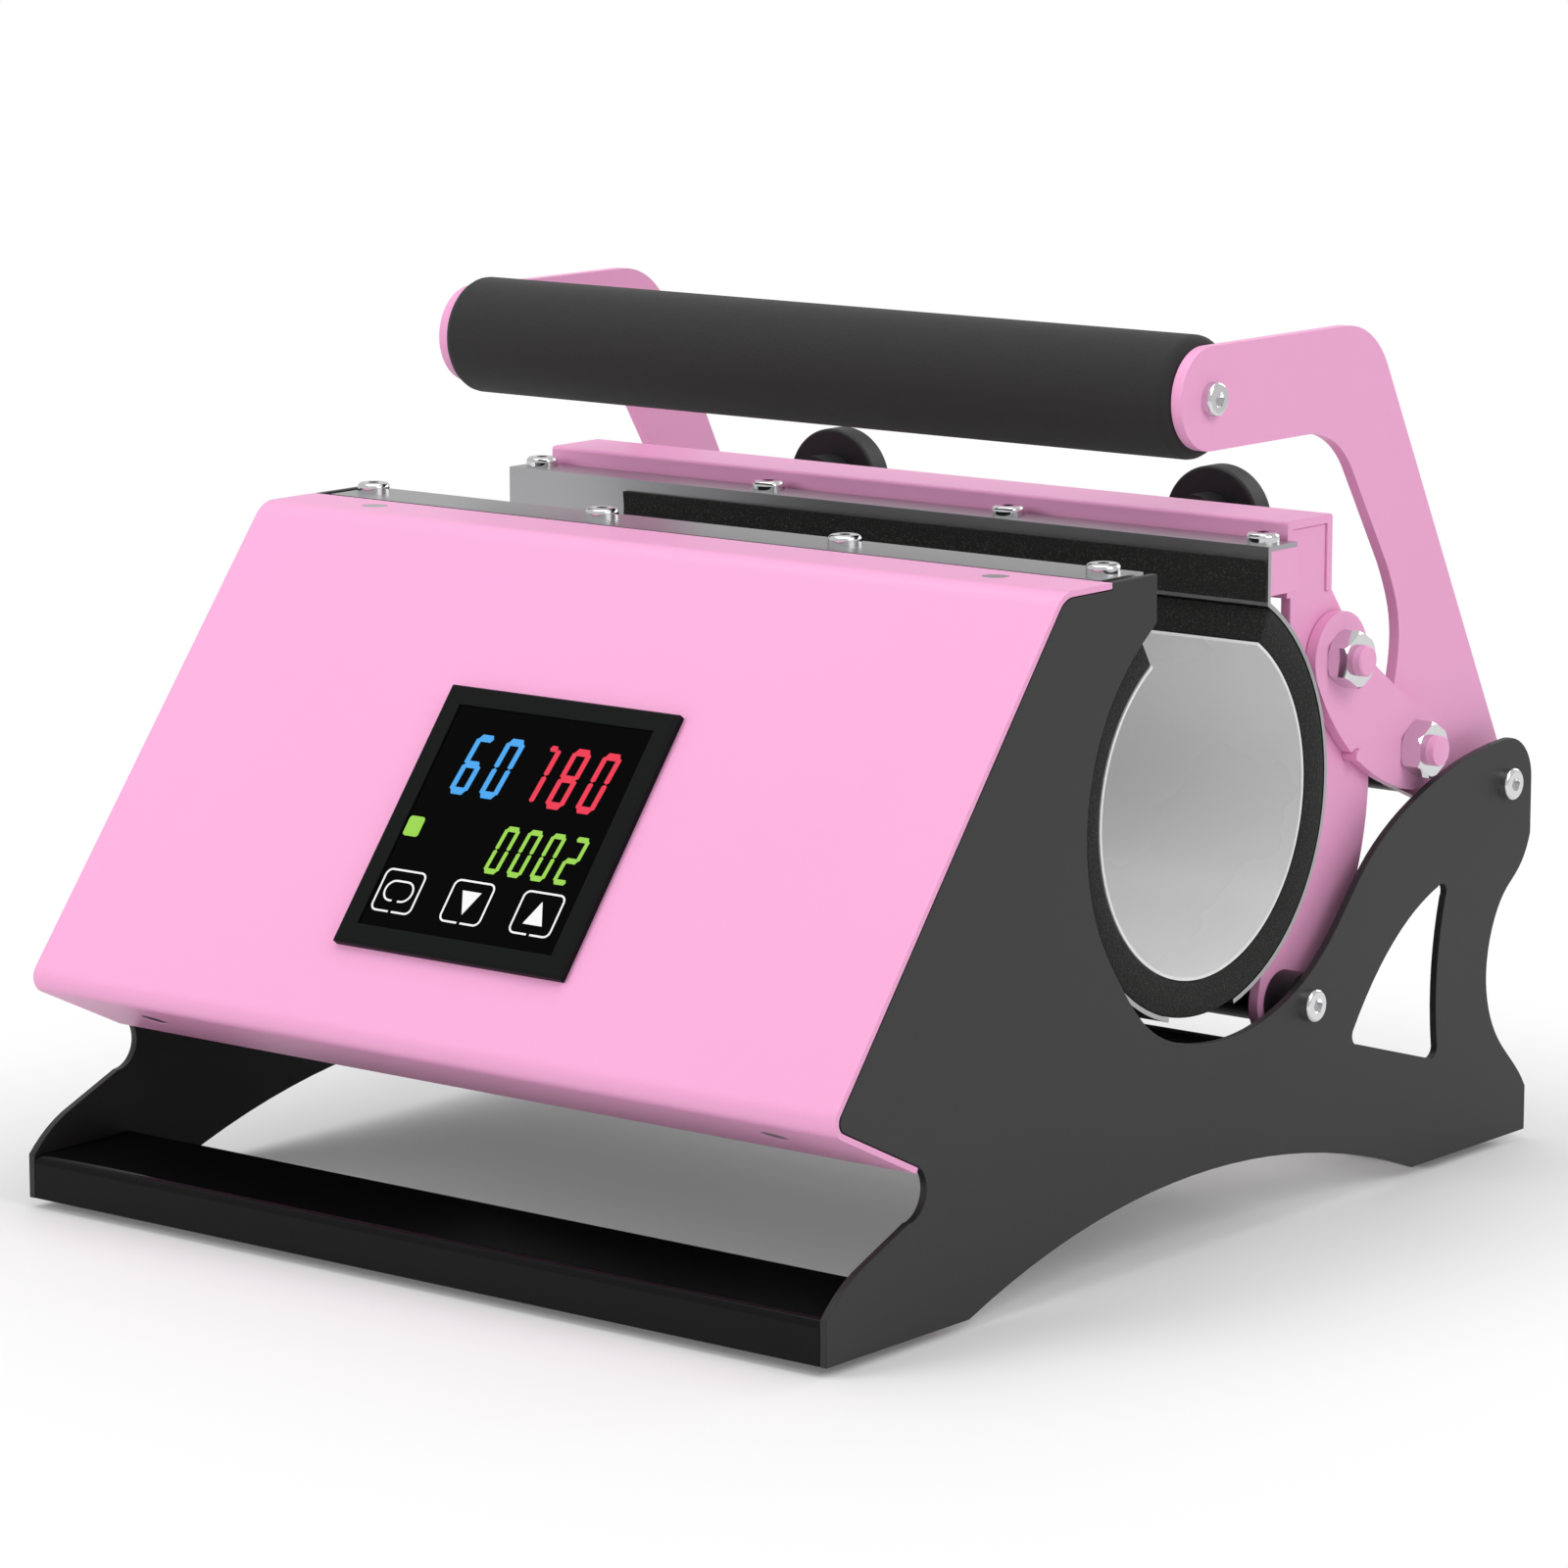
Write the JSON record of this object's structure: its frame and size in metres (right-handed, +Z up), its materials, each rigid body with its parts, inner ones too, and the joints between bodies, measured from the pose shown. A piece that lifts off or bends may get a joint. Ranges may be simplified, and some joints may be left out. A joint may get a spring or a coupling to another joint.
{
  "type": "tumbler heat press",
  "caption": "Desktop press that wraps a heated felt-lined clamp round a tumbler, closed by an over-centre handle, with a sloping control panel.",
  "frame": {"origin": "on the floor, under the middle of the side plates", "axes": "+X along the tumbler to the open end, -Y to the front with the control panel, +Z up"},
  "size_m": [0.2656, 0.303, 0.2272],
  "materials": {
    "pink_paint": "satin powder coat",
    "pink_bolts": "satin powder coat over bolt",
    "grey_paint": "fine matt powder coat",
    "black_gloss_paint": "gloss black paint",
    "black_oxide_steel": "black finish on steel",
    "polished_steel": "polished sheet",
    "black_felt": "dense black felt",
    "white_liner": "smooth white silicone",
    "bright_hardware": "bright plated",
    "grip_foam": "matt foam",
    "knob_plastic": "moulded",
    "stud_steel": "zinc plated",
    "bezel_plastic": "satin black",
    "screen": "gloss window",
    "socket_plastic": "moulded",
    "brass_pins": "bright",
    "foot_rubber": "moulded"
  },
  "bodies": {
    "base": {"side_plate_left": "grey_paint", "side_plate_right": "grey_paint", "front_beam": "black_gloss_paint", "rear_beam": "black_gloss_paint", "cross_beam": "black_gloss_paint", "feet_front": "foot_rubber", "feet_rear": "foot_rubber", "front_cover": "pink_paint", "cover_rail_top": "black_gloss_paint", "cover_rail_bottom": "black_gloss_paint", "cover_screws": "bright_hardware", "bottom_panel": "black_gloss_paint", "controller_bezel": "bezel_plastic", "display_panel": "screen", "controller_body": "bezel_plastic", "power_relay": "socket_plastic", "power_inlet": "socket_plastic", "inlet_pins": "brass_pins", "power_switch": "socket_plastic", "handle_shaft": "black_oxide_steel", "jaw_shaft": "black_oxide_steel", "shaft_spacers": "black_oxide_steel", "shaft_screws": "bright_hardware", "front_jaw_shell": "polished_steel", "front_felt": "black_felt", "front_liner": "white_liner", "front_lip_pad": "black_felt", "front_mount_bar": "black_gloss_paint", "front_jaw_screws": "bright_hardware", "free_felt": "black_felt", "free_liner": "white_liner"},
    "jaw": {"rear_jaw_shell": "polished_steel", "rear_felt": "black_felt", "rear_liner": "white_liner", "rear_lip_pad": "black_felt", "rear_mount_bar": "pink_paint", "rear_jaw_screws": "bright_hardware", "clamp_bar": "pink_paint", "jaw_plate_left": "pink_paint", "jaw_plate_right": "pink_paint", "stop_pins": "pink_paint", "link_jaw_bolts": "pink_bolts", "link_jaw_nuts": "bright_hardware"},
    "link_left": {"link_left": "pink_paint", "link_fasteners_left": "bright_hardware"},
    "link_right": {"link_right": "pink_paint", "link_fasteners_right": "bright_hardware"},
    "handle": {"handle_arm_left": "pink_paint", "handle_arm_right": "pink_paint", "handle_tube": "polished_steel", "handle_plugs": "polished_steel", "handle_grip": "grip_foam", "handle_screws": "bright_hardware", "handle_link_bolts": "pink_bolts"},
    "knob_left": {"knob_left": "knob_plastic", "knob_stud_left": "stud_steel"},
    "knob_right": {"knob_right": "knob_plastic", "knob_stud_right": "stud_steel"},
    "rocker": {"power_rocker": "socket_plastic"}
  },
  "joints": [
    {"name": "handle_pivot", "type": "hinge", "parent": "base", "child": "handle", "pos_m": [0, 0.1395, 0.0985], "axis": [-1, 0, 0], "range_deg": [0, 80]},
    {"name": "jaw_hinge", "type": "hinge", "parent": "base", "child": "jaw", "pos_m": [0, 0.047, 0.0545], "axis": [-1, 0, 0], "range_deg": [0, 27.7]},
    {"name": "link_left_pivot", "type": "hinge", "parent": "jaw", "child": "link_left", "pos_m": [-0.1229, 0.0675, 0.1405], "axis": [1, 0, 0], "range_deg": [0, 87.6]},
    {"name": "link_right_pivot", "type": "hinge", "parent": "jaw", "child": "link_right", "pos_m": [0.1229, 0.0675, 0.1405], "axis": [1, 0, 0], "range_deg": [0, 87.6]},
    {"name": "knob_left_turn", "type": "hinge", "parent": "jaw", "child": "knob_left", "pos_m": [-0.0634, 0.0965, 0.1671], "axis": [0, 1, 0], "continuous": true},
    {"name": "knob_right_turn", "type": "hinge", "parent": "jaw", "child": "knob_right", "pos_m": [0.0634, 0.0965, 0.1671], "axis": [0, 1, 0], "continuous": true},
    {"name": "power_rocker_tilt", "type": "hinge", "parent": "base", "child": "rocker", "pos_m": [-0.1276, -0.0715, 0.1205], "axis": [0, 0, 1], "range_deg": [0, 9.5]}
  ],
  "couplings": [
    {"joint": "jaw_hinge", "follows": "handle_pivot", "ratio": 0.34563},
    {"joint": "link_left_pivot", "follows": "handle_pivot", "ratio": 1.0939},
    {"joint": "link_right_pivot", "follows": "handle_pivot", "ratio": 1.0939}
  ]
}
